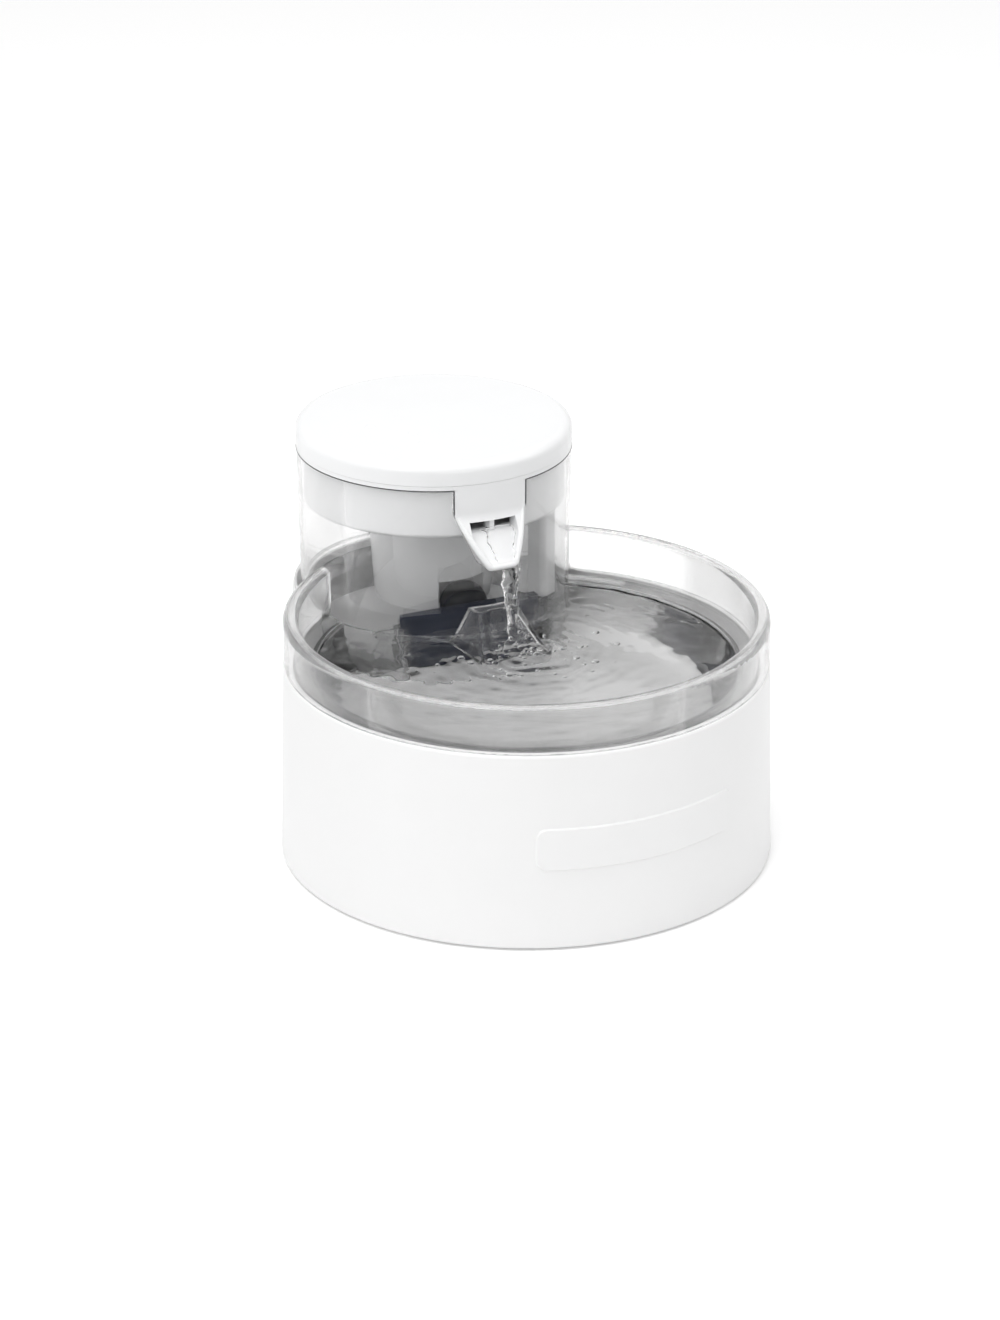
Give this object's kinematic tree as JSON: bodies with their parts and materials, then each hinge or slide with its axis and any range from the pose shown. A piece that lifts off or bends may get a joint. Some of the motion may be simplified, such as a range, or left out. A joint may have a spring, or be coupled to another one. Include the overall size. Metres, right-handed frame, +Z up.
{
  "type": "pet water fountain",
  "caption": "Round pet water fountain: white base, clear drinking bowl with a clear tower, spout, filter and magnetically driven pump.",
  "frame": {"origin": "centre of the footprint, on the surface that the rubber feet stand on", "axes": "+Z up, +Y from the drinking bowl towards the tower, the spout faces -Y"},
  "size_m": [0.256, 0.3202, 0.1982],
  "materials": {
    "white_plastic": "smooth moulded white plastic, satin gloss",
    "clear_plastic": "clear moulded plastic, glossy",
    "black_plastic": "black moulded plastic",
    "grey_plastic": "grey moulded plastic",
    "blue_foam": "dark blue open-cell foam",
    "grey_rubber": "soft grey rubber",
    "seal_rubber": "pale silicone rubber",
    "screw_steel": "plated steel",
    "motor_steel": "drawn steel",
    "bracket_steel": "pressed steel plate",
    "board_green": "green laminate",
    "magnet_metal": "sintered magnet",
    "ceramic": "polished ceramic",
    "carbon": "black carbon granules"
  },
  "bodies": {
    "base": {"base_shell": "white_plastic", "base_deck": "white_plastic", "base_bottom_cover": "white_plastic", "rubber_feet": "grey_rubber", "base_screws": "screw_steel", "drive_motor": "motor_steel", "motor_bracket": "bracket_steel", "bracket_screws": "screw_steel", "circuit_board": "board_green", "board_screws": "screw_steel", "dc_power_jack": "black_plastic"},
    "drive": {"motor_shaft": "motor_steel", "drive_hub": "grey_plastic", "drive_magnets": "magnet_metal"},
    "bowl": {"clear_bowl": "clear_plastic", "clear_tower": "clear_plastic", "splash_ramp": "clear_plastic", "pump_cover": "black_plastic", "outlet_duct": "clear_plastic", "impeller_pin": "ceramic"},
    "impeller": {"impeller_rotor": "grey_plastic", "impeller_magnet": "magnet_metal", "impeller_bush": "ceramic"},
    "foam": {"foam_filter": "blue_foam"},
    "housing": {"spout_basin": "white_plastic", "filter_cup": "white_plastic", "riser_duct": "white_plastic", "riser_seal": "seal_rubber"},
    "cartridge": {"filter_case": "white_plastic", "carbon_core": "carbon"},
    "lid": {"tower_lid": "white_plastic", "lid_seal": "seal_rubber"}
  },
  "joints": [
    {"name": "drive_spin", "type": "hinge", "parent": "base", "child": "drive", "pos_m": [0.004, 0.05415, 0.04], "axis": [0, 0, 1], "continuous": true},
    {"name": "bowl_lift", "type": "slide", "parent": "base", "child": "bowl", "axis": [0, 0, 1], "range_m": [0, 0.12]},
    {"name": "impeller_spin", "type": "hinge", "parent": "bowl", "child": "impeller", "pos_m": [0.004, 0.05415, 0.04], "axis": [0, 0, 1], "continuous": true},
    {"name": "foam_lift", "type": "slide", "parent": "bowl", "child": "foam", "axis": [0, 0, 1], "range_m": [0, 0.07]},
    {"name": "housing_lift", "type": "slide", "parent": "bowl", "child": "housing", "axis": [0, 0, 1], "range_m": [0, 0.14]},
    {"name": "filter_lift", "type": "slide", "parent": "housing", "child": "cartridge", "axis": [0, 0, 1], "range_m": [0, 0.078]},
    {"name": "lid_lift", "type": "slide", "parent": "housing", "child": "lid", "axis": [0, 0, 1], "range_m": [0, 0.13]}
  ],
  "couplings": [
    {"joint": "impeller_spin", "follows": "drive_spin", "ratio": 1},
    {"joint": "foam_lift", "follows": "housing_lift", "ratio": 0.5},
    {"joint": "filter_lift", "follows": "lid_lift", "ratio": 0.6}
  ]
}
